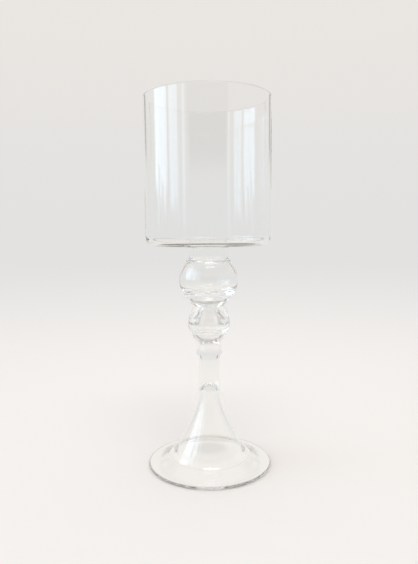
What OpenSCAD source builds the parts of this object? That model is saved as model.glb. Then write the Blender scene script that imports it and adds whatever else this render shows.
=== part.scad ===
// Footed hurricane lantern of hand-blown clear glass.
// Seven pieces of hot-worked glass stand on one another along the Z axis:
// foot, trumpet stem, collar, two hollow knops, merese and cylinder.  The
// foot is an open ring, so the trumpet is hollow like a bell from below, and
// the upper knop, the merese and the cylinder's base close one space.
// Each fused joint is one flat face, a disc or a ring, that both neighbours
// share.
// The axis of the glass is Z and the table is z = 0.  All sizes are in mm.

/* [Foot] */
// Outer diameter of the foot
foot_d = 130; // [120:1:150]
// Height of the foot, from the table to its fused joint with the stem
foot_h = 8; // [7:0.5:11]
// Thickness of the rounded edge of the foot
foot_edge_t = 3; // [2:0.5:4.5]
// Width of the ring that touches the table
foot_ring_w = 2.5; // [1.5:0.5:5]

/* [Trumpet stem] */
// Height of the trumpet stem between its two fused joints
stem_h = 107; // [100:1:130]
// Outer diameter of the fused joint with the foot
stem_skirt_d = 92.4; // [90:0.2:96]
// Diameter of the open mouth, where the stem is fused to the foot
stem_mouth_d = 81.2; // [76:0.2:82]
// Outer diameter at the bend between the foot and the trumpet
stem_bend_d = 84.8; // [83:0.2:87]
// Height of that bend above the joint with the foot
stem_bend_h = 2; // [1.5:0.5:4]
// Diameter of the shaft where the trumpet begins to open
stem_shaft_d = 25.2; // [22:0.2:30]
// Height of the trumpet, from its bend to the shaft
stem_flare_h = 68; // [62:0.5:76]
// Smallest diameter of the shaft, just below the collar
stem_neck_d = 21.8; // [18:0.2:22]
// Height over which the shaft widens again to the collar
stem_neck_drop = 5; // [3:0.5:8]
// Diameter of the fused joint with the collar
stem_top_d = 22.6; // [20:0.2:24]
// Diameter of the hollow in the shaft, where its round tip begins
stem_hollow_d = 15.2; // [12:0.2:17]
// Height of the hollow above the joint with the foot
stem_hollow_h = 80; // [74:0.5:84]
// Height of the round tip of the hollow
stem_hollow_tip_h = 8; // [6:0.5:12]
// Diameter of the hollow where the wall begins to thicken towards the foot
stem_lip_d = 66.4; // [64:0.2:68]
// Height of that place above the joint with the foot
stem_lip_h = 10.8; // [9:0.1:12]

/* [Collar] */
// Height of the collar
collar_h = 15; // [12:0.5:20]
// Diameter of the collar at its widest
collar_d = 27; // [26:0.5:34]
// Height of the widest place above the lower face
collar_bulge_h = 4.8; // [3:0.2:6]
// Diameter of the lower face of the collar
collar_foot_d = 23.8; // [23:0.2:25]
// Diameter of the fused joint with the lower knop
collar_top_d = 24.4; // [22:0.2:25]

/* [Lower knop] */
// Height of the lower knop
knop1_h = 40; // [36:1:48]
// Diameter of the lower knop
knop1_d = 44.4; // [40:0.2:54]
// Height of its widest place above its lower face
knop1_mid_h = 20.8; // [18:0.2:23]
// Diameter of the fused joint between the two knops
waist_d = 31.8; // [28:0.2:34]
// Thinnest glass beside the hollow
knop1_wall = 4; // [3:0.2:7]
// Thickness of the solid glass under the hollow
knop1_floor = 12; // [10:0.5:17]
// Diameter of the narrow upper end of the hollow
knop1_tube_d = 12.4; // [10:0.2:16]
// Thickness of the glass above the hollow
knop1_roof = 1.2; // [1:0.1:3]

/* [Upper knop] */
// Height of the upper knop
knop2_h = 48; // [44:1:58]
// Diameter of the upper knop
knop2_d = 61.2; // [56:0.2:72]
// Height of its widest place above its lower face
knop2_mid_h = 26.2; // [22:0.2:28]
// Outer diameter of the fused joint with the merese
knop2_top_d = 45.2; // [43:0.2:50]
// Thinnest glass round the hollow
knop2_wall = 2.6; // [2:0.1:4]
// Thickness of the solid glass under the hollow
knop2_floor = 13; // [10:0.5:18]

/* [Merese] */
// Height of the merese, the neck under the cylinder
merese_h = 14.5; // [12:0.5:20]
// Outer diameter of its neck
merese_neck_d = 40.8; // [36:0.2:42]
// Thickness of the neck's wall
merese_wall = 3; // [2:0.1:4]
// Height of the hollow curve between the knop and the neck
merese_foot_h = 3; // [2:0.5:5]
// Outer diameter of the fused joint under the cylinder
merese_top_d = 46; // [44:0.5:60]
// Height of the hollow curve between the neck and the cylinder
merese_flare_h = 3; // [2:0.5:6]

/* [Hurricane cylinder] */
// Height of the cylinder, base included
cup_h = 148.5; // [120:0.5:200]
// Outer diameter of the rim
cup_d = 130; // [110:1:160]
// How much wider the rim is than the base, on each side
cup_flare = 0.6; // [0:0.1:2]
// Thickness of the wall just above the base
cup_wall = 2.2; // [1.6:0.1:4]
// Thickness of the base
cup_base_t = 3.2; // [3:0.2:6]
// Outer corner radius between wall and base
cup_corner_r = 8.5; // [7:0.5:12]
// Inner corner radius between wall and floor
cup_floor_r = 6.2; // [5:0.1:9]

/* [Hidden] */

$fn = 96;
glass = [0.90, 0.94, 0.93];

// Heights of the fused joints above the table
stem_z = foot_h;
collar_z = stem_z + stem_h;
knop1_z = collar_z + collar_h;
knop2_z = knop1_z + knop1_h;
merese_z = knop2_z + knop2_h;
cup_z = merese_z + merese_h;
cup_top_z = cup_z + cup_h;

// Foot and stem: radii of the ring where they are fused
skirt_r = stem_skirt_d / 2;
mouth_r = stem_mouth_d / 2;

// Upper knop and merese: radius of the open space where they are fused
bore_r = merese_neck_d / 2 - merese_wall;

// Cylinder: radii of the wall
cup_r = cup_d / 2;
cup_base_r = cup_r - cup_flare;
cup_bore_r = cup_base_r - cup_wall;
cup_lip_r = (cup_r - cup_bore_r) / 2;
cup_floor_z = cup_z + cup_base_t;

// Steps along each kind of curve
arc_steps = 10;
curve_steps = 20;

// A point on the cubic curve through a and d that b and c pull
function curve_point(a, b, c, d, t) =
  pow(1 - t, 3) * a + 3 * t * pow(1 - t, 2) * b
  + 3 * pow(t, 2) * (1 - t) * c + pow(t, 3) * d;

// The cubic curve itself, as points from a to d
function curve(a, b, c, d, steps = curve_steps) =
  [for (i = [0 : steps]) curve_point(a, b, c, d, i / steps)];

// An arc of radius r round the point mid
function arc(mid, r, from, to, steps = arc_steps) =
  [for (i = [0 : steps])
    let (a = from + (to - from) * i / steps)
    mid + r * [cos(a), sin(a)]];

// The side of a blown knop from its widest place, radius r at height z,
// to a joint of radius joint_r at height joint_z.  A power under 1 keeps
// the side full, and one over 1 draws it in.
function knop_side(r, z, joint_r, joint_z, power, steps = curve_steps) =
  [for (i = [0 : steps])
    let (t = i / steps)
    [joint_r + (r - joint_r) * pow(cos(90 * t), power), z + (joint_z - z) * t]];

// A quarter of a bubble from its widest place, radius r at height z, to
// its pole on the axis at height pole_z.  A power of 2 is an ellipse, and
// a higher one is squarer.
function bubble_side(r, z, pole_z, power, steps = curve_steps) =
  [for (i = [0 : steps])
    let (a = 90 * i / steps)
    [i == steps ? 0 : r * pow(cos(a), 2 / power), z + (pole_z - z) * pow(sin(a), 2 / power)]];

// The same points in the opposite order
function backwards(points) = [for (i = [len(points) - 1 : -1 : 0]) points[i]];

// All points but the last, where the next stretch begins with that point
function but_last(points) = [for (i = [0 : len(points) - 2]) points[i]];

// Turns an outline of [radius, height] points round the axis of the glass
module turned(outline) {
  rotate_extrude()
    polygon(outline);
}

// Flange of even thickness that slopes down to a half-round edge.  Only a
// narrow ring of it touches the table.
module foot_disc() {
  edge_r = foot_edge_t / 2;
  edge = [foot_d / 2 - edge_r, edge_r];
  ring_r = edge[0] - foot_ring_w;
  rise = foot_h - foot_edge_t;
  run = edge[0] - skirt_r;
  inside_w = ring_r - mouth_r;
  color(glass)
    turned(concat(
      curve(
        [mouth_r, foot_h],
        [mouth_r + 0.36 * inside_w, 0.575 * foot_h],
        [mouth_r + 0.63 * inside_w, 0.075 * foot_h],
        [ring_r, 0]
      ),
      but_last(arc(edge, edge_r, -90, 90)),
      curve(
        [edge[0], foot_edge_t],
        [edge[0] - 0.376 * run, foot_edge_t + 0.12 * rise],
        [edge[0] - 0.70 * run, foot_edge_t + 0.52 * rise],
        [skirt_r, foot_h]
      )
    ));
}

// Outline of the hollow in the stem, from its round tip to the open mouth
function stem_hollow() =
  let (
    hollow_r = stem_hollow_d / 2,
    top = stem_z + stem_hollow_h,
    throat = [hollow_r, top - stem_hollow_tip_h],
    lip = [stem_lip_d / 2, stem_z + stem_lip_h],
    flare_w = lip[0] - hollow_r,
    flare_h = throat[1] - lip[1],
    lip_w = mouth_r - lip[0]
  )
  concat(
    but_last(curve(
      [0, top],
      [0.32 * hollow_r, top],
      [0.75 * hollow_r, throat[1] + 0.48 * stem_hollow_tip_h],
      throat
    )),
    but_last(curve(
      throat,
      [hollow_r + 0.044 * flare_w, lip[1] + 0.620 * flare_h],
      [hollow_r + 0.552 * flare_w, lip[1] + 0.272 * flare_h],
      lip
    )),
    curve(
      lip,
      [lip[0] + 0.33 * lip_w, stem_z + 0.62 * stem_lip_h],
      [lip[0] + 0.55 * lip_w, stem_z + 0.10 * stem_lip_h],
      [mouth_r, stem_z]
    )
  );

// Trumpet that opens to a thin-walled skirt on the foot.  It is solid above
// its hollow.
module trumpet_stem() {
  bend = [stem_bend_d / 2, stem_z + stem_bend_h];
  shaft = [stem_shaft_d / 2, bend[1] + stem_flare_h];
  neck = [stem_neck_d / 2, collar_z - stem_neck_drop];
  skirt_w = skirt_r - bend[0];
  flare_w = bend[0] - shaft[0];
  neck_h = neck[1] - shaft[1];
  color(glass)
    turned(concat(
      stem_hollow(),
      but_last(curve(
        [skirt_r, stem_z],
        [bend[0] + 0.53 * skirt_w, stem_z + 0.42 * stem_bend_h],
        [bend[0] + 0.21 * skirt_w, stem_z + 0.55 * stem_bend_h],
        bend
      )),
      but_last(curve(
        bend,
        [shaft[0] + 0.517 * flare_w, bend[1] + 0.235 * stem_flare_h],
        [shaft[0] + 0.027 * flare_w, bend[1] + 0.626 * stem_flare_h],
        shaft
      )),
      curve(
        shaft,
        [0.70 * shaft[0] + 0.30 * neck[0], shaft[1] + 0.37 * neck_h],
        [neck[0], shaft[1] + 0.69 * neck_h],
        neck
      ),
      [[stem_top_d / 2, collar_z], [0, collar_z]]
    ));
}

// Solid bead between the stem and the lower knop
module stem_collar() {
  bulge_z = collar_z + collar_bulge_h;
  color(glass)
    turned(concat(
      [[0, collar_z]],
      backwards(knop_side(collar_d / 2, bulge_z, collar_foot_d / 2, collar_z, 1)),
      knop_side(collar_d / 2, bulge_z, collar_top_d / 2, knop1_z, 1.8),
      [[0, knop1_z]]
    ));
}

// Small knop with a bell-shaped bubble over a thick solid floor
module lower_knop() {
  mid_z = knop1_z + knop1_mid_h;
  bubble_r = knop1_d / 2 - knop1_wall;
  tube_r = knop1_tube_d / 2;
  roof_z = knop2_z - knop1_roof;
  tube_z = roof_z - 0.4 * tube_r;
  color(glass)
    difference() {
      turned(concat(
        [[0, knop1_z]],
        backwards(knop_side(knop1_d / 2, mid_z, collar_top_d / 2, knop1_z, 1.18)),
        knop_side(knop1_d / 2, mid_z, waist_d / 2, knop2_z, 0.8),
        [[0, knop2_z]]
      ));
      turned(concat(
        backwards(bubble_side(bubble_r, mid_z, knop1_z + knop1_floor, 2.3)),
        but_last(curve(
          [bubble_r, mid_z],
          [0.78 * bubble_r, mid_z + 0.38 * (tube_z - mid_z)],
          [1.2 * tube_r, mid_z + 0.70 * (tube_z - mid_z)],
          [tube_r, tube_z]
        )),
        bubble_side(tube_r, tube_z, roof_z, 2)
      ));
    }
}

// Large knop with a thin wall.  Its bubble opens into the merese above.
module upper_knop() {
  mid_z = knop2_z + knop2_mid_h;
  bubble_r = knop2_d / 2 - knop2_wall;
  shoulder = [bore_r + knop2_wall, merese_z - knop2_wall];
  color(glass)
    turned(concat(
      [[0, knop2_z]],
      backwards(knop_side(knop2_d / 2, mid_z, waist_d / 2, knop2_z, 0.85)),
      knop_side(knop2_d / 2, mid_z, knop2_top_d / 2, merese_z, 0.72),
      but_last(arc([shoulder[0], merese_z], knop2_wall, 180, 270)),
      but_last(backwards(knop_side(bubble_r, mid_z, shoulder[0], shoulder[1], 0.75))),
      bubble_side(bubble_r, mid_z, knop2_z + knop2_floor, 2.9)
    ));
}

// Hollow neck between the knop and the cylinder
module upper_merese() {
  neck_r = merese_neck_d / 2;
  low = [knop2_top_d / 2, merese_z];
  high = [merese_top_d / 2, cup_z];
  color(glass)
    turned(concat(
      [[bore_r, merese_z]],
      curve(
        low,
        [neck_r + 0.25 * (low[0] - neck_r), merese_z],
        [neck_r, merese_z + 0.35 * merese_foot_h],
        [neck_r, merese_z + merese_foot_h]
      ),
      curve(
        [neck_r, cup_z - merese_flare_h],
        [neck_r, cup_z - 0.35 * merese_flare_h],
        [neck_r + 0.25 * (high[0] - neck_r), cup_z],
        high
      ),
      [[bore_r, cup_z]]
    ));
}

// Open cylinder with a flat floor for the candle and a fire-polished rim
module hurricane_cylinder() {
  lip = [cup_bore_r + cup_lip_r, cup_top_z - cup_lip_r];
  color(glass)
    turned(concat(
      [[0, cup_z]],
      arc([cup_base_r - cup_corner_r, cup_z + cup_corner_r], cup_corner_r, -90, 0),
      arc(lip, cup_lip_r, 0, 180),
      arc([cup_bore_r - cup_floor_r, cup_floor_z + cup_floor_r], cup_floor_r, 0, -90),
      [[0, cup_floor_z]]
    ));
}

foot_disc();
trumpet_stem();
stem_collar();
lower_knop();
upper_knop();
upper_merese();
hurricane_cylinder();
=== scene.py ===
import math
import random

import bpy
from mathutils import Matrix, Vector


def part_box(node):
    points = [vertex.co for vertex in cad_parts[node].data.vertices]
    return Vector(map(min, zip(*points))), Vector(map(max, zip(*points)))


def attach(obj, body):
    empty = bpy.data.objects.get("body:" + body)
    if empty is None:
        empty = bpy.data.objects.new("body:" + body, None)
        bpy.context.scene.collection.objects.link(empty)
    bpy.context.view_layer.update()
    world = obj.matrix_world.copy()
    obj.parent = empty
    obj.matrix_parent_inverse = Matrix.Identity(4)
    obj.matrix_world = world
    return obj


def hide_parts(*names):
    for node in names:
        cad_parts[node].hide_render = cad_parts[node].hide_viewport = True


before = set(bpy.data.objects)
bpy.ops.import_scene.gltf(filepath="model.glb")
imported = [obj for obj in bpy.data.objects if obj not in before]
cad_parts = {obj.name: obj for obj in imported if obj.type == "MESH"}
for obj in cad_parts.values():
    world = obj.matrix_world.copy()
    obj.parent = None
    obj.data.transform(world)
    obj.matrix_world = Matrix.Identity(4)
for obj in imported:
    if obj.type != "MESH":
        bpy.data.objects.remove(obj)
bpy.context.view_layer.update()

MM = 0.001

# ---------------------------------------------------------------------------
# Camera: a phone held a little over the cylinder's floor, half a metre away
# ---------------------------------------------------------------------------

IMAGE_W = 418
IMAGE_H = 564
FOCAL_PX = 530.0            # focal length in pixels of the photo's frame
SENSOR = 36.0               # mm along the image's long side
CAMERA_BACK = 0.5505        # from the axis of the glass to the lens
CAMERA_UP = 0.249           # height of the lens over the table
CAMERA_SIDE = 0.0004
CAMERA_PITCH = math.radians(-5.67)      # looks down
CAMERA_ROLL = math.radians(-0.42)
CLIP_START = 0.01
CLIP_END = 100.0


def add_camera():
    """The camera at the photo's viewing angle, with a small roll."""
    data = bpy.data.cameras.new("camera")
    data.sensor_width = SENSOR
    data.sensor_fit = "AUTO"
    data.lens = FOCAL_PX * SENSOR / max(IMAGE_W, IMAGE_H)
    data.clip_start = CLIP_START
    data.clip_end = CLIP_END
    camera = bpy.data.objects.new("camera", data)
    camera.location = (CAMERA_SIDE, -CAMERA_BACK, CAMERA_UP)
    tilt = Matrix.Rotation(math.pi / 2 + CAMERA_PITCH, 4, "X")
    roll = Matrix.Rotation(CAMERA_ROLL, 4, "Z")
    camera.rotation_euler = (tilt @ roll).to_euler()
    bpy.context.scene.collection.objects.link(camera)
    bpy.context.scene.camera = camera


# ---------------------------------------------------------------------------
# Outlines of the glass, as [radius, height] points in metres
# ---------------------------------------------------------------------------

CURVE_STEPS = 36
ARC_STEPS = 12
SEGMENTS = 192


def curve(a, b, c, d, steps=CURVE_STEPS):
    """Points of the cubic curve through a and d that b and c pull."""
    points = []
    for i in range(steps + 1):
        t = i / steps
        shares = ((1 - t) ** 3, 3 * t * (1 - t) ** 2, 3 * t * t * (1 - t), t ** 3)
        r = sum(share * p[0] for share, p in zip(shares, (a, b, c, d)))
        z = sum(share * p[1] for share, p in zip(shares, (a, b, c, d)))
        points.append((r, z))
    return points


def pulled(a, d, pulls, steps=CURVE_STEPS):
    """Cubic curve from a to d.  Each of its two pulls says how far across and
    how far up or down the way from a to d a pulling point lies."""
    points = []
    for across, along in pulls:
        points.append((a[0] + across * (d[0] - a[0]), a[1] + along * (d[1] - a[1])))
    return curve(a, *points, d, steps)


def arc(mid, r, start, end, steps=ARC_STEPS):
    """Points of an arc round mid, between two angles in degrees."""
    points = []
    for i in range(steps + 1):
        a = math.radians(start + (end - start) * i / steps)
        points.append((mid[0] + r * math.cos(a), mid[1] + r * math.sin(a)))
    return points


def line(a, b, steps=1):
    """Points along a straight line."""
    points = []
    for i in range(steps + 1):
        points.append((a[0] + (b[0] - a[0]) * i / steps, a[1] + (b[1] - a[1]) * i / steps))
    return points


def knop_side(r, z, joint_r, joint_z, power, steps=CURVE_STEPS):
    """Side of a blown knop, from its widest place at height z to a joint.
    A lower power makes it fuller."""
    points = []
    for i in range(steps + 1):
        t = math.sin(math.pi / 2 * i / steps)
        fullness = max(math.cos(math.pi / 2 * t), 0.0) ** power
        points.append((joint_r + (r - joint_r) * fullness, z + (joint_z - z) * t))
    return points


def bubble_side(r, z, pole_z, power, steps=CURVE_STEPS):
    """Quarter of a bubble, from its widest place at height z to its pole.
    A power of 2 is an ellipse, and a higher one is squarer."""
    points = []
    for i in range(steps + 1):
        a = math.pi / 2 * i / steps
        side = max(math.cos(a), 0.0) ** (2 / power) if i < steps else 0.0
        points.append((r * side, z + (pole_z - z) * math.sin(a) ** (2 / power)))
    return points


def backwards(points):
    """The same points in the opposite order."""
    return list(reversed(points))


# ---------------------------------------------------------------------------
# Sizes: the outside comes from the frame, the inside is named here
# ---------------------------------------------------------------------------

def low_z(node):
    """Height of a node's lower face."""
    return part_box(node)[0][2]


def high_z(node):
    """Height of a node's upper face."""
    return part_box(node)[1][2]


def wide_r(node):
    """Largest radius of a node, from the broadest side of its box."""
    low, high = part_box(node)
    return max(high[0], high[1], -low[0], -low[1])


STEM_Z = low_z("trumpet_stem")
COLLAR_Z = low_z("stem_collar")
KNOP1_Z = low_z("lower_knop")
KNOP2_Z = low_z("upper_knop")
MERESE_Z = low_z("upper_merese")
CUP_Z = low_z("hurricane_cylinder")
CUP_TOP_Z = high_z("hurricane_cylinder")

FOOT_R = wide_r("foot_disc")
SKIRT_R = wide_r("trumpet_stem")
COLLAR_R = wide_r("stem_collar")
KNOP1_R = wide_r("lower_knop")
KNOP2_R = wide_r("upper_knop")
MERESE_TOP_R = wide_r("upper_merese")
CUP_R = wide_r("hurricane_cylinder")

FOOT_EDGE_R = 1.5 * MM
FOOT_RING_W = 2.5 * MM
FOOT_UNDER = ((0.36, 0.425), (0.63, 0.925))
FOOT_TOP = ((0.376, 0.12), (0.70, 0.52))
MOUTH_R = 40.6 * MM

BEND_R = 42.4 * MM
BEND_H = 2.0 * MM
SHAFT_R = 12.6 * MM
FLARE_H = 68.0 * MM
NECK_R = 10.9 * MM
NECK_DROP = 5.0 * MM
STEM_TOP_R = 11.3 * MM
STEM_SKIRT = ((0.47, 0.42), (0.79, 0.55))
STEM_FLARE = ((0.483, 0.235), (0.973, 0.626))
STEM_SHAFT = ((0.30, 0.37), (1.0, 0.69))
STEM_NECK = ((0.0, 0.5), (0.25, 0.9))

HOLLOW_R = 7.6 * MM
HOLLOW_H = 80.0 * MM
HOLLOW_TIP_H = 8.0 * MM
LIP_R = 33.2 * MM
LIP_H = 10.8 * MM
HOLLOW_TIP = ((0.32, 0.0), (0.75, 0.52))
HOLLOW_FLARE = ((0.044, 0.380), (0.552, 0.728))
HOLLOW_MOUTH = ((0.33, 0.38), (0.55, 0.90))

COLLAR_BULGE_H = 4.8 * MM
COLLAR_FOOT_R = 11.9 * MM
COLLAR_TOP_R = 12.2 * MM
COLLAR_LOW_POWER = 1
COLLAR_HIGH_POWER = 1.8

KNOP1_MID_H = 20.8 * MM
WAIST_R = 15.9 * MM
KNOP1_WALL = 4.0 * MM
KNOP1_FLOOR = 12.0 * MM
KNOP1_ROOF = 1.2 * MM
KNOP1_LOW_POWER = 1.18
KNOP1_HIGH_POWER = 0.8
KNOP1_TUBE_R = 6.2 * MM
KNOP1_TUBE_TOP = 0.4            # height of the tube's round top, in its radii
KNOP1_SHOULDER = (0.78, 0.38)   # of the bubble's radius, and of the way up to the tube
KNOP1_THROAT = (1.2, 0.70)      # of the tube's radius, and of the same way
BUBBLE1_POWER = 2.3

KNOP2_MID_H = 26.2 * MM
KNOP2_TOP_R = 22.6 * MM
KNOP2_WALL = 2.6 * MM
KNOP2_FLOOR = 13.0 * MM
KNOP2_LOW_POWER = 0.85
KNOP2_HIGH_POWER = 0.72
BUBBLE2_HIGH_POWER = 0.75
BUBBLE2_POWER = 2.9

MERESE_R = 20.4 * MM
MERESE_WALL = 3.0 * MM
BORE_R = MERESE_R - MERESE_WALL
MERESE_FOOT_H = 3.0 * MM
MERESE_FLARE_H = 3.0 * MM
MERESE_FOOT = ((0.75, 0.0), (1.0, 0.35))
MERESE_FLARE = ((0.0, 0.65), (0.25, 1.0))

CUP_FLARE = 0.6 * MM
CUP_WALL = 2.2 * MM
CUP_BASE_T = 3.2 * MM
CUP_CORNER_R = 8.5 * MM
CUP_FLOOR_R = 6.2 * MM
CUP_STEPS = 120
EDGE_TURN = -68          # degrees on the base corner: below this the glass is tinted nearly black, a painted dark line


# ---------------------------------------------------------------------------
# Turning an outline into a closed mesh of hand-blown glass
# ---------------------------------------------------------------------------

GLASS = 0
SEAM = 1
# slot of the darker-tinted edge bands, which paint dark lines on the foot's rim and the cylinder's
# base corner
EDGE = 2

ON_AXIS = 1e-7              # a smaller radius is one point on the axis
CALM_R = 6.0 * MM           # within this radius the waves fade out towards the axis
WAVE_SLANT = 0.3            # how far a wave's height follows the radius
WAVE_TERMS = 8
WAVE_FALLOFF = 0.35

# Waves of a surface: depth, waves round it and in a metre along it, and the
# distance from a fused joint over which they grow to full depth.
WAVES = {
    "foot": (0.06 * MM, (1, 5), (0, 20), 4 * MM),
    "stem": (0.08 * MM, (1, 4), (5, 30), 4 * MM),
    "collar": (0.12 * MM, (1, 4), (5, 40), 2 * MM),
    "lower_knop": (0.22 * MM, (1, 4), (5, 30), 3 * MM),
    "lower_bubble": (0.22 * MM, (1, 4), (5, 30), 4 * MM),
    "upper_knop": (0.22 * MM, (1, 4), (5, 30), 3 * MM),
    "merese": (0.12 * MM, (1, 4), (5, 30), 3 * MM),
    "cylinder": (0.08 * MM, (1, 6), (0, 14), 4 * MM),
}


class Waves:
    """Faint unevenness of hand-blown glass: a few long waves round and along
    the piece.  They only take glass away, so the piece keeps to its box."""

    def __init__(self, name):
        rng = random.Random(name)
        self.depth, around, along, self.fade = WAVES[name]
        self.terms = []
        for k in range(WAVE_TERMS):
            turns = rng.randint(*around)
            per_metre = rng.uniform(*along) * rng.choice((-1, 1))
            phase = rng.uniform(0, 2 * math.pi)
            self.terms.append((turns, per_metre, phase, 1 / (1 + WAVE_FALLOFF * k)))
        self.total = sum(term[3] for term in self.terms)

    def at(self, angle, r, z):
        """How far the surface lies inside the true one, 0 to depth."""
        along = 2 * math.pi * (z + WAVE_SLANT * r)
        height = 0.0
        for turns, per_metre, phase, weight in self.terms:
            height += weight * math.cos(turns * angle + per_metre * along + phase)
        return self.depth * (0.5 + 0.5 * height / self.total)


def ease(x):
    """0 to 1 with a soft start and end."""
    x = min(max(x, 0.0), 1.0)
    return x * x * (3 - 2 * x)


def outline_normals(points):
    """Unit normals of an outline, to its right-hand side."""
    normals = []
    last = len(points) - 1
    for i in range(len(points)):
        a = points[max(i - 1, 0)]
        b = points[min(i + 1, last)]
        dr, dz = b[0] - a[0], b[1] - a[1]
        size = math.hypot(dr, dz) or 1.0
        normals.append((dz / size, -dr / size))
    return normals


class Turned:
    """Collects turned stretches into one mesh."""

    def __init__(self):
        self.verts = []
        self.faces = []
        self.slots = []
        self.sharp = set()

    def ring(self, r, z, normal, calm, waves):
        """Adds a ring of vertices, which the waves move inwards along the
        outline's normal, or one vertex on the axis."""
        if r < ON_AXIS:
            self.verts.append((0.0, 0.0, z))
            return [len(self.verts) - 1]
        first = len(self.verts)
        for k in range(SEGMENTS):
            a = 2 * math.pi * k / SEGMENTS
            depth = calm * waves.at(a, r, z)
            wavy_r = r - depth * normal[0]
            self.verts.append((wavy_r * math.cos(a), wavy_r * math.sin(a), z - depth * normal[1]))
        return list(range(first, first + SEGMENTS))

    def join(self, low, high, slot):
        """Faces between two neighbouring rings, with outward normals when
        the outline runs upwards on the outside."""
        n = SEGMENTS
        for k in range(n):
            j = (k + 1) % n
            if len(low) == 1:
                face = (low[0], high[j], high[k])
            elif len(high) == 1:
                face = (low[k], low[j], high[0])
            else:
                face = (low[k], low[j], high[j], high[k])
            self.faces.append(face)
            self.slots.append(slot)

    def crease(self, ring):
        """Marks a ring's edges as sharp."""
        if len(ring) > 1:
            for k in range(len(ring)):
                j = (k + 1) % len(ring)
                self.sharp.add((min(ring[k], ring[j]), max(ring[k], ring[j])))

    def turn(self, stretches, name):
        """Turns a list of (points, slot) stretches that follow each other and
        start and end on the axis, or meet in a loop.  The waves of that name
        fade out towards the fused joints, and the joints' rims are sharp."""
        waves = Waves(name)
        points = []
        slots = []
        corners = []
        for stretch, slot in stretches:
            if points:
                if slot != slots[-1] and SEAM in (slot, slots[-1]):
                    corners.append(len(points) - 1)
                stretch = stretch[1:]
            for p in stretch:
                points.append(p)
                slots.append(slot)
        face_slots = slots[1:]
        if points[0] == points[-1] and SEAM in (face_slots[0], face_slots[-1]):
            corners.append(0)
        seam_at = [points[i] for i in range(len(points)) if SEAM in slots[i:i + 2]]
        normals = outline_normals(points)
        rings = []
        for i, (r, z) in enumerate(points):
            if i == len(points) - 1 and points[0] == points[-1]:
                rings.append(rings[0])
                break
            calm = 1.0
            for seam_r, seam_z in seam_at:
                calm = min(calm, ease(math.hypot(r - seam_r, z - seam_z) / waves.fade))
            calm *= ease(r / CALM_R)
            rings.append(self.ring(r, z, normals[i], calm, waves))
        for i in range(len(rings) - 1):
            self.join(rings[i], rings[i + 1], face_slots[i])
        for i in corners:
            self.crease(rings[i])

    def mesh(self, name, materials):
        """The finished mesh object."""
        mesh = bpy.data.meshes.new(name)
        mesh.from_pydata(self.verts, [], self.faces)
        mesh.validate()
        for material in materials:
            mesh.materials.append(material)
        mesh.polygons.foreach_set("material_index", self.slots)
        mesh.polygons.foreach_set("use_smooth", [True] * len(self.slots))
        flags = [(min(e.vertices), max(e.vertices)) in self.sharp for e in mesh.edges]
        mesh.edges.foreach_set("use_edge_sharp", flags)
        mesh.update()
        piece = bpy.data.objects.new(name, mesh)
        bpy.context.scene.collection.objects.link(piece)
        return piece


# ---------------------------------------------------------------------------
# Materials
# ---------------------------------------------------------------------------

WALL_TINT = (0.985, 0.988, 0.985, 1.0)
STEM_TINT = (0.988, 0.990, 0.985, 1.0)
FOOT_EDGE_ABSORB_AND_SHADE_TINT = (0.70, 0.68, 0.65, 1.0)    # light goes a long way through an edge and loses some, and the darker tint also paints the rim's dark line
# nearly black tint of the cylinder's base corner: a painted dark line, not a colour of the glass
CUP_CORNER_SHADE_TINT = (0.07, 0.065, 0.05, 1.0)
GLASS_IOR = 1.5
RIPPLE = 0.05
RIPPLE_DEPTH = 0.4 * MM
RIPPLE_SCALE = 45.0
WALL_SMUDGE = 0.04
STEM_SMUDGE = 0.03
SMUDGE_SCALE = 90.0
SMUDGE_FROM = 0.55          # the noise at which a smudge begins
SMUDGE_FULL = 0.85


def new_material(name):
    """An empty node material and its output node."""
    material = bpy.data.materials.new(name)
    material.use_nodes = True
    material.node_tree.nodes.clear()
    output = material.node_tree.nodes.new("ShaderNodeOutputMaterial")
    return material, output


def glass_material(name, tint, ripple, smudge):
    """Clear glass.  A slow noise bends its surface a little, as hand-blown
    glass is, and a finer one gives it faint smudges."""
    material, output = new_material(name)
    nodes = material.node_tree.nodes
    links = material.node_tree.links
    glass = nodes.new("ShaderNodeBsdfPrincipled")
    glass.inputs["Base Color"].default_value = tint
    glass.inputs["Transmission Weight"].default_value = 1.0
    glass.inputs["IOR"].default_value = GLASS_IOR
    place = nodes.new("ShaderNodeTexCoord")
    slow = nodes.new("ShaderNodeTexNoise")
    slow.inputs["Scale"].default_value = RIPPLE_SCALE
    slow.inputs["Detail"].default_value = 1.0
    bump = nodes.new("ShaderNodeBump")
    bump.inputs["Strength"].default_value = ripple
    bump.inputs["Distance"].default_value = RIPPLE_DEPTH
    fine = nodes.new("ShaderNodeTexNoise")
    fine.inputs["Scale"].default_value = SMUDGE_SCALE
    fine.inputs["Detail"].default_value = 5.0
    rough = nodes.new("ShaderNodeMapRange")
    rough.inputs["From Min"].default_value = SMUDGE_FROM
    rough.inputs["From Max"].default_value = SMUDGE_FULL
    rough.inputs["To Min"].default_value = 0.0
    rough.inputs["To Max"].default_value = smudge
    links.new(place.outputs["Object"], slow.inputs["Vector"])
    links.new(place.outputs["Object"], fine.inputs["Vector"])
    links.new(slow.outputs["Fac"], bump.inputs["Height"])
    links.new(fine.outputs["Fac"], rough.inputs["Value"])
    links.new(rough.outputs["Result"], glass.inputs["Roughness"])
    links.new(bump.outputs["Normal"], glass.inputs["Normal"])
    links.new(glass.outputs["BSDF"], output.inputs["Surface"])
    return material


def seam_material():
    """The inside of a fused joint: one glass runs on into the next, so no
    light is bent there."""
    material, output = new_material("fused_joint")
    clear = material.node_tree.nodes.new("ShaderNodeBsdfTransparent")
    material.node_tree.links.new(clear.outputs["BSDF"], output.inputs["Surface"])
    return material


# ---------------------------------------------------------------------------
# The seven pieces
# ---------------------------------------------------------------------------

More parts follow.
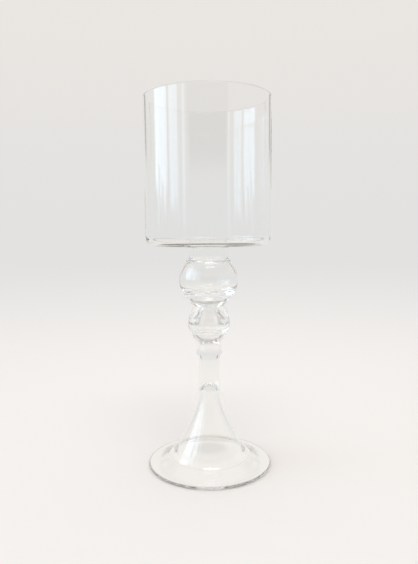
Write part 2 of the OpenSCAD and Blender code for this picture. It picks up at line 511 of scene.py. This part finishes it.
def make_foot():
    """Flange of even thickness that slopes down to a half-round edge.  It is
    open in the middle, and only a narrow ring of it touches the table."""
    edge_mid = (FOOT_R - FOOT_EDGE_R, FOOT_EDGE_R)
    ring_r = edge_mid[0] - FOOT_RING_W
    t = Turned()
    t.turn([
        (pulled((MOUTH_R, STEM_Z), (ring_r, 0), FOOT_UNDER), GLASS),
        (line((ring_r, 0), (edge_mid[0], 0), 3), GLASS),
        # the half-round edge takes the darker EDGE tint: light lost on its long way through, and a
        # painted dark rim line
        (arc(edge_mid, FOOT_EDGE_R, -90, 90), EDGE),
        (pulled((edge_mid[0], 2 * FOOT_EDGE_R), (SKIRT_R, STEM_Z), FOOT_TOP, 20), GLASS),
        (line((SKIRT_R, STEM_Z), (MOUTH_R, STEM_Z), 4), SEAM),
    ], "foot")
    return t


def stem_hollow():
    """Inside of the trumpet, from its round tip down to the open mouth."""
    top = STEM_Z + HOLLOW_H
    throat = (HOLLOW_R, top - HOLLOW_TIP_H)
    lip = (LIP_R, STEM_Z + LIP_H)
    tip = pulled((0, top), throat, HOLLOW_TIP, 20)
    flare = pulled(throat, lip, HOLLOW_FLARE, 60)
    mouth = pulled(lip, (MOUTH_R, STEM_Z), HOLLOW_MOUTH, 20)
    return tip + flare[1:] + mouth[1:]


def make_stem():
    """Trumpet: a solid shaft that opens to a thin-walled, open skirt."""
    bend = (BEND_R, STEM_Z + BEND_H)
    shaft = (SHAFT_R, bend[1] + FLARE_H)
    neck = (NECK_R, COLLAR_Z - NECK_DROP)
    t = Turned()
    t.turn([
        (stem_hollow(), GLASS),
        (line((MOUTH_R, STEM_Z), (SKIRT_R, STEM_Z), 4), SEAM),
        (pulled((SKIRT_R, STEM_Z), bend, STEM_SKIRT, 12), GLASS),
        (pulled(bend, shaft, STEM_FLARE), GLASS),
        (pulled(shaft, neck, STEM_SHAFT, 20), GLASS),
        (pulled(neck, (STEM_TOP_R, COLLAR_Z), STEM_NECK, 8), GLASS),
        (line((STEM_TOP_R, COLLAR_Z), (0, COLLAR_Z), 2), SEAM),
    ], "stem")
    return t


def make_collar():
    """Solid bead between the stem and the knops."""
    bulge_z = COLLAR_Z + COLLAR_BULGE_H
    t = Turned()
    t.turn([
        (line((0, COLLAR_Z), (STEM_TOP_R, COLLAR_Z), 2), SEAM),
        (line((STEM_TOP_R, COLLAR_Z), (COLLAR_FOOT_R, COLLAR_Z)), GLASS),
        (backwards(knop_side(COLLAR_R, bulge_z, COLLAR_FOOT_R, COLLAR_Z,
                             COLLAR_LOW_POWER, 14)), GLASS),
        (knop_side(COLLAR_R, bulge_z, COLLAR_TOP_R, KNOP1_Z, COLLAR_HIGH_POWER, 20), GLASS),
        (line((COLLAR_TOP_R, KNOP1_Z), (0, KNOP1_Z), 2), SEAM),
    ], "collar")
    return t


def make_lower_knop():
    """Small knop with a bell-shaped bubble over a thick floor."""
    mid_z = KNOP1_Z + KNOP1_MID_H
    bubble_r = KNOP1_R - KNOP1_WALL
    bottom_z = KNOP1_Z + KNOP1_FLOOR
    roof_z = KNOP2_Z - KNOP1_ROOF
    tube_z = roof_z - KNOP1_TUBE_TOP * KNOP1_TUBE_R
    shoulder = (KNOP1_SHOULDER[0] * bubble_r, mid_z + KNOP1_SHOULDER[1] * (tube_z - mid_z))
    throat = (KNOP1_THROAT[0] * KNOP1_TUBE_R, mid_z + KNOP1_THROAT[1] * (tube_z - mid_z))
    t = Turned()
    t.turn([
        (line((0, KNOP1_Z), (COLLAR_TOP_R, KNOP1_Z), 2), SEAM),
        (backwards(knop_side(KNOP1_R, mid_z, COLLAR_TOP_R, KNOP1_Z, KNOP1_LOW_POWER)), GLASS),
        (knop_side(KNOP1_R, mid_z, WAIST_R, KNOP2_Z, KNOP1_HIGH_POWER), GLASS),
        (line((WAIST_R, KNOP2_Z), (0, KNOP2_Z), 2), SEAM),
    ], "lower_knop")
    t.turn([
        (backwards(bubble_side(KNOP1_TUBE_R, tube_z, roof_z, 2, 16)), GLASS),
        (backwards(curve((bubble_r, mid_z), shoulder, throat, (KNOP1_TUBE_R, tube_z))), GLASS),
        (bubble_side(bubble_r, mid_z, bottom_z, BUBBLE1_POWER), GLASS),
    ], "lower_bubble")
    return t


def make_upper_knop():
    """Large thin-walled knop.  Its bubble is open to the neck above."""
    mid_z = KNOP2_Z + KNOP2_MID_H
    bubble_r = KNOP2_R - KNOP2_WALL
    shoulder = (BORE_R + KNOP2_WALL, MERESE_Z - KNOP2_WALL)
    t = Turned()
    t.turn([
        (line((0, KNOP2_Z), (WAIST_R, KNOP2_Z), 2), SEAM),
        (backwards(knop_side(KNOP2_R, mid_z, WAIST_R, KNOP2_Z, KNOP2_LOW_POWER)), GLASS),
        (knop_side(KNOP2_R, mid_z, KNOP2_TOP_R, MERESE_Z, KNOP2_HIGH_POWER), GLASS),
        (line((KNOP2_TOP_R, MERESE_Z), (BORE_R, MERESE_Z), 1), SEAM),
        (arc((shoulder[0], MERESE_Z), KNOP2_WALL, 180, 270), GLASS),
        (backwards(knop_side(bubble_r, mid_z, *shoulder, BUBBLE2_HIGH_POWER)), GLASS),
        (bubble_side(bubble_r, mid_z, KNOP2_Z + KNOP2_FLOOR, BUBBLE2_POWER), GLASS),
    ], "upper_knop")
    return t


def make_merese():
    """Hollow neck between the knop and the cylinder.  It widens towards each
    end in a soft curve."""
    low = (MERESE_R, MERESE_Z + MERESE_FOOT_H)
    high = (MERESE_R, CUP_Z - MERESE_FLARE_H)
    t = Turned()
    t.turn([
        (line((BORE_R, MERESE_Z), (KNOP2_TOP_R, MERESE_Z)), SEAM),
        (pulled((KNOP2_TOP_R, MERESE_Z), low, MERESE_FOOT, 14), GLASS),
        (line(low, high, 8), GLASS),
        (pulled(high, (MERESE_TOP_R, CUP_Z), MERESE_FLARE, 14), GLASS),
        (line((MERESE_TOP_R, CUP_Z), (BORE_R, CUP_Z)), SEAM),
        (line((BORE_R, CUP_Z), (BORE_R, MERESE_Z), 12), GLASS),
    ], "merese")
    return t


def make_cylinder():
    """Open cylinder with a flat floor and a fire-polished rim."""
    base_r = CUP_R - CUP_FLARE
    bore_r = base_r - CUP_WALL
    lip_r = (CUP_R - bore_r) / 2
    floor_z = CUP_Z + CUP_BASE_T
    lip = (bore_r + lip_r, CUP_TOP_Z - lip_r)
    corner = (base_r - CUP_CORNER_R, CUP_Z + CUP_CORNER_R)
    inner = (bore_r - CUP_FLOOR_R, floor_z + CUP_FLOOR_R)
    t = Turned()
    t.turn([
        (line((0, CUP_Z), (BORE_R, CUP_Z), 8), GLASS),
        (line((BORE_R, CUP_Z), (MERESE_TOP_R, CUP_Z)), SEAM),
        (line((MERESE_TOP_R, CUP_Z), (corner[0], CUP_Z), 12), GLASS),
        # the lower part of the base corner takes the nearly black EDGE material, a painted dark
        # line
        (arc(corner, CUP_CORNER_R, -90, EDGE_TURN, 8), EDGE),
        (arc(corner, CUP_CORNER_R, EDGE_TURN, 0), GLASS),
        (line((base_r, corner[1]), (CUP_R, lip[1]), CUP_STEPS), GLASS),
        (arc(lip, lip_r, 0, 180, 16), GLASS),
        (line((bore_r, lip[1]), (bore_r, inner[1]), CUP_STEPS), GLASS),
        (arc(inner, CUP_FLOOR_R, 0, -90), GLASS),
        (line((inner[0], floor_z), (0, floor_z), 24), GLASS),
    ], "cylinder")
    return t


def add_pieces():
    """Every piece replaces the CAD node of its name and rides on the root.
    Its materials stand in the order GLASS, SEAM, EDGE."""
    wall_glass = glass_material("wall_glass", WALL_TINT, RIPPLE, WALL_SMUDGE)
    stem_glass = glass_material("stem_glass", STEM_TINT, RIPPLE, STEM_SMUDGE)
    # the foot's rim: darker glass for light lost in the edge, and a painted dark line
    foot_edge_absorb_and_shade = glass_material("foot_edge_absorb_and_shade", FOOT_EDGE_ABSORB_AND_SHADE_TINT, 0.0, 0.0)
    # the cylinder's base corner: glass tinted nearly black, a painted dark line
    cup_corner_painted_shade = glass_material("cup_corner_painted_shade", CUP_CORNER_SHADE_TINT, 0.0, 0.0)
    seam = seam_material()
    makers = {
        "foot_disc": (make_foot, (wall_glass, seam, foot_edge_absorb_and_shade)),
        "trumpet_stem": (make_stem, (stem_glass, seam)),
        "stem_collar": (make_collar, (stem_glass, seam)),
        "lower_knop": (make_lower_knop, (stem_glass, seam)),
        "upper_knop": (make_upper_knop, (stem_glass, seam)),
        "upper_merese": (make_merese, (stem_glass, seam)),
        "hurricane_cylinder": (make_cylinder, (wall_glass, seam, cup_corner_painted_shade)),
    }
    for node, (maker, materials) in makers.items():
        piece = maker().mesh(node + "_glass", materials)
        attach(piece, "root")
        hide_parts(node)


# ---------------------------------------------------------------------------
# Room: walls, windows, lamp and table
# ---------------------------------------------------------------------------

class Graph:
    """Short forms for building a node tree."""

    def __init__(self, tree):
        self.nodes = tree.nodes
        self.links = tree.links

    def put(self, socket, value):
        """Links a socket to an output, or sets its plain value."""
        if isinstance(value, bpy.types.NodeSocket):
            self.links.new(value, socket)
        else:
            socket.default_value = value

    def math(self, operation, a, b=0.0):
        """Result of an operation on one or two values."""
        node = self.nodes.new("ShaderNodeMath")
        node.operation = operation
        self.put(node.inputs[0], a)
        self.put(node.inputs[1], b)
        return node.outputs[0]

    def ramp(self, value, start, end, low=0.0, high=1.0):
        """Smooth step from low at start to high at end."""
        node = self.nodes.new("ShaderNodeMapRange")
        node.interpolation_type = "SMOOTHSTEP"
        self.put(node.inputs["Value"], value)
        node.inputs["From Min"].default_value = start
        node.inputs["From Max"].default_value = end
        node.inputs["To Min"].default_value = low
        node.inputs["To Max"].default_value = high
        return node.outputs["Result"]

    def between(self, value, low, high, soft):
        """1 between low and high, with soft ends."""
        up = self.ramp(value, low - soft / 2, low + soft / 2)
        down = self.ramp(value, high - soft / 2, high + soft / 2, 1.0, 0.0)
        return self.math("MULTIPLY", up, down)

    def inside(self, azimuth, elevation, patch, soft):
        """1 inside a patch of the room, with soft ends across and up."""
        across = self.between(azimuth, patch[0], patch[1], soft[0])
        return self.math("MULTIPLY", across, self.between(elevation, patch[2], patch[3], soft[1]))

    def noise(self, scale, detail):
        """A noise texture's node."""
        node = self.nodes.new("ShaderNodeTexNoise")
        node.inputs["Scale"].default_value = scale
        node.inputs["Detail"].default_value = detail
        return node

    def length(self, vector):
        """Length of a vector."""
        node = self.nodes.new("ShaderNodeVectorMath")
        node.operation = "LENGTH"
        self.links.new(vector, node.inputs[0])
        return node.outputs["Value"]

    def mix(self, amount, a, b):
        """Mix of two colours."""
        node = self.nodes.new("ShaderNodeMix")
        node.data_type = "RGBA"
        self.put(node.inputs["Factor"], amount)
        self.put(node.inputs[6], a)
        self.put(node.inputs[7], b)
        return node.outputs[2]


WALL_LOW = (0.765, 0.760, 0.752, 1.0)      # the wall at eye level
WALL_HIGH = (0.822, 0.789, 0.757, 1.0)     # the wall above
WALL_FADE = (0.0, 22.0)                    # elevations of the two, in degrees
COVE = (0.50, 0.49, 0.47, 1.0)             # a darker band under the ceiling
COVE_BAND = (32.0, 48.0)
COVE_SOFT = 8.0
CEILING = (0.74, 0.73, 0.71, 1.0)
CEILING_FADE = (46.0, 52.0)
EVEN = (0.97, 0.965, 0.955, 1.0)           # what lights the table, from all sides
SKY = (0.80, 1.0, 1.18)
LAMP_WHITE = (1.0, 0.98, 0.96)

# Window panes on the left: azimuth from the middle of the wall behind the
# glass, positive to the right, and elevation, in degrees; then the strength.
PANES = (
    (-140.0, -135.0, 1.5, 40.0, 1.8),
    (-126.0, -109.0, 3.0, 40.0, 2.5),
    (-104.0, -74.0, 4.0, 40.0, 3.05),
)
PANE_SOFT = (2.0, 4.0)
RAGGED_SCALE = 14.0                        # the panes' upper and lower ends are ragged
RAGGED_DETAIL = 3.0
RAGGED_REACH = 14.0
FOLD_SCALE = 0.45                          # upright folds of light in the panes
FOLD_DETAIL = 2.0
FOLD_RANGE = (0.38, 0.56)
FOLD_DARK = 0.70

# Dark strips behind the camera and on both sides of the wall behind the
# glass: azimuth and elevation in degrees, then the brightness.
SHADES = (
    (-180.0, -144.0, 7.0, 22.0, 0.32),
    (144.0, 180.0, 7.0, 22.0, 0.32),
    (-36.0, -30.0, 8.0, 40.0, 0.28),
    (30.0, 36.0, 8.0, 40.0, 0.28),
)
SHADE_SOFT = (3.0, 4.0)

# Lamp high up behind the camera: azimuth from the middle of that side and
# elevation in degrees, then the strength.
LAMP = (-46.0, 26.0, 57.0, 67.0, 6.0)
LAMP_SOFT = (4.0, 2.0)

FLOOR_NEAR = (0.862, 0.822, 0.792, 1.0)    # the table as the camera sees it
FLOOR_SEEN = (0.913, 0.884, 0.848, 1.0)    # and as the glass shows it
FLOOR_FADE = (-1.0, 0.60)                  # from table to wall, log10 of metres
FLOOR_R = 30.0
FLOOR_SIDES = 48
FLOOR_DROP = 0.2 * MM                      # the table lies just under the foot
BLACK = (0.0, 0.0, 0.0, 1.0)

# Painted soft shadows of the glass on the table: place along Y, half width and half
# depth in metres, softness of the edge and how much darker the table is.
SHADOWS = (
    (0.022, 0.033, 0.034, 0.14, 0.04),
    (0.037, 0.018, 0.018, 0.40, 0.10),
)


def build_world():
    """Pale walls on every side, tall windows on the left and a lamp behind
    the camera.  The camera sees the plain wall alone, and the table is lit
    evenly, so only the glass shows the room."""
    world = bpy.data.worlds.new("room")
    bpy.context.scene.world = world
    world.use_nodes = True
    tree = world.node_tree
    tree.nodes.clear()
    g = Graph(tree)
    output = g.nodes.new("ShaderNodeOutputWorld")
    place = g.nodes.new("ShaderNodeTexCoord")
    axes = g.nodes.new("ShaderNodeSeparateXYZ")
    g.links.new(place.outputs["Generated"], axes.inputs[0])
    x, y, z = axes.outputs
    azimuth = g.math("MULTIPLY", g.math("ARCTAN2", x, y), 180 / math.pi)
    elevation = g.math("MULTIPLY", g.math("ARCSINE", z), 180 / math.pi)

    plain_wall = g.mix(g.ramp(elevation, *WALL_FADE), WALL_LOW, WALL_HIGH)
    wall = g.mix(g.between(elevation, *COVE_BAND, COVE_SOFT), plain_wall, COVE)
    wall = g.mix(g.ramp(elevation, *CEILING_FADE), wall, CEILING)
    for *patch, grey in SHADES:
        dark = g.inside(azimuth, elevation, patch, SHADE_SOFT)
        wall = g.mix(dark, wall, (grey, grey, grey, 1.0))

    ragged = g.noise(RAGGED_SCALE, RAGGED_DETAIL)
    g.links.new(place.outputs["Generated"], ragged.inputs["Vector"])
    shift = g.math("MULTIPLY", g.math("SUBTRACT", ragged.outputs["Fac"], 0.5), RAGGED_REACH)
    ragged_elevation = g.math("ADD", elevation, shift)
    folds = g.noise(FOLD_SCALE, FOLD_DETAIL)
    folds.noise_dimensions = "1D"
    g.put(folds.inputs["W"], azimuth)
    bright = g.ramp(folds.outputs["Fac"], *FOLD_RANGE, FOLD_DARK, 1.0)
    light = wall
    for *patch, strength in PANES:
        pane = g.inside(azimuth, ragged_elevation, patch, PANE_SOFT)
        pane = g.math("MULTIPLY", pane, bright)
        light = g.mix(pane, light, tuple(strength * c for c in SKY) + (1.0,))

    back_x = g.math("MULTIPLY", x, -1.0)
    back_y = g.math("MULTIPLY", y, -1.0)
    back_azimuth = g.math("MULTIPLY", g.math("ARCTAN2", back_x, back_y), 180 / math.pi)
    lamp = g.inside(back_azimuth, elevation, LAMP[:4], LAMP_SOFT)
    light = g.mix(lamp, light, tuple(LAMP[4] * c for c in LAMP_WHITE) + (1.0,))

    path = g.nodes.new("ShaderNodeLightPath")
    seen = path.outputs["Is Camera Ray"]
    plain = g.math("MINIMUM", g.math("ADD", path.outputs["Diffuse Depth"], seen), 1.0)
    colour = g.mix(plain, light, g.mix(seen, EVEN, plain_wall))
    background = g.nodes.new("ShaderNodeBackground")
    g.links.new(colour, background.inputs["Color"])
    g.links.new(background.outputs[0], output.inputs["Surface"])


def floor_material():
    """Matt table top with painted soft shadows of the glass.  It fades into the
    wall's colour far away, and glows where glass bends or mirrors it."""
    material, output = new_material("pale_floor")
    g = Graph(material.node_tree)
    place = g.nodes.new("ShaderNodeTexCoord").outputs["Object"]
    far = g.ramp(g.math("LOGARITHM", g.length(place), 10.0), *FLOOR_FADE)
    # painted shadows: the table's colour and glow are darkened in soft ellipses under the glass
    shade = 1.0
    for y, wide, deep, soft, depth in SHADOWS:
        local = g.nodes.new("ShaderNodeMapping")
        local.vector_type = "TEXTURE"
        local.inputs["Location"].default_value = (0.0, y, 0.0)
        local.inputs["Scale"].default_value = (wide, deep, 1.0)
        g.links.new(place, local.inputs["Vector"])
        distance = g.length(local.outputs["Vector"])
        shadow = g.ramp(distance, 1.0 - soft, 1.0 + soft, 1.0 - depth, 1.0)
        shade = g.math("MULTIPLY", shade, shadow)
    matt = g.nodes.new("ShaderNodeBsdfDiffuse")
    g.put(matt.inputs["Color"], g.mix(shade, BLACK, FLOOR_NEAR))
    glow = g.nodes.new("ShaderNodeEmission")
    g.put(glow.inputs["Color"], g.mix(shade, BLACK, g.mix(far, FLOOR_SEEN, WALL_LOW)))
    path = g.nodes.new("ShaderNodeLightPath")
    by_glass = g.math("MAXIMUM", path.outputs["Is Transmission Ray"], path.outputs["Is Glossy Ray"])
    blend = g.nodes.new("ShaderNodeMixShader")
    g.put(blend.inputs[0], g.math("MAXIMUM", far, by_glass))
    g.links.new(matt.outputs[0], blend.inputs[1])
    g.links.new(glow.outputs[0], blend.inputs[2])
    g.links.new(blend.outputs[0], output.inputs["Surface"])
    return material


def add_floor():
    """A wide round table top whose far edge doesn't show."""
    verts = [(0.0, 0.0, 0.0)]
    faces = []
    for k in range(FLOOR_SIDES):
        a = 2 * math.pi * k / FLOOR_SIDES
        verts.append((FLOOR_R * math.cos(a), FLOOR_R * math.sin(a), 0.0))
        faces.append((0, 1 + k, 1 + (k + 1) % FLOOR_SIDES))
    mesh = bpy.data.meshes.new("floor")
    mesh.from_pydata(verts, [], faces)
    mesh.materials.append(floor_material())
    floor = bpy.data.objects.new("floor", mesh)
    bpy.context.scene.collection.objects.link(floor)
    floor.location.z = -FLOOR_DROP


GLASS_BOUNCES = 34
JOINT_CROSSINGS = 48


def set_light_paths():
    """Glass needs long paths, because light crosses many faces of it."""
    scene = bpy.context.scene
    scene.view_settings.view_transform = "Standard"
    scene.cycles.max_bounces = GLASS_BOUNCES
    scene.cycles.transmission_bounces = GLASS_BOUNCES
    scene.cycles.glossy_bounces = GLASS_BOUNCES
    scene.cycles.transparent_max_bounces = JOINT_CROSSINGS


add_camera()
build_world()
add_floor()
set_light_paths()
add_pieces()
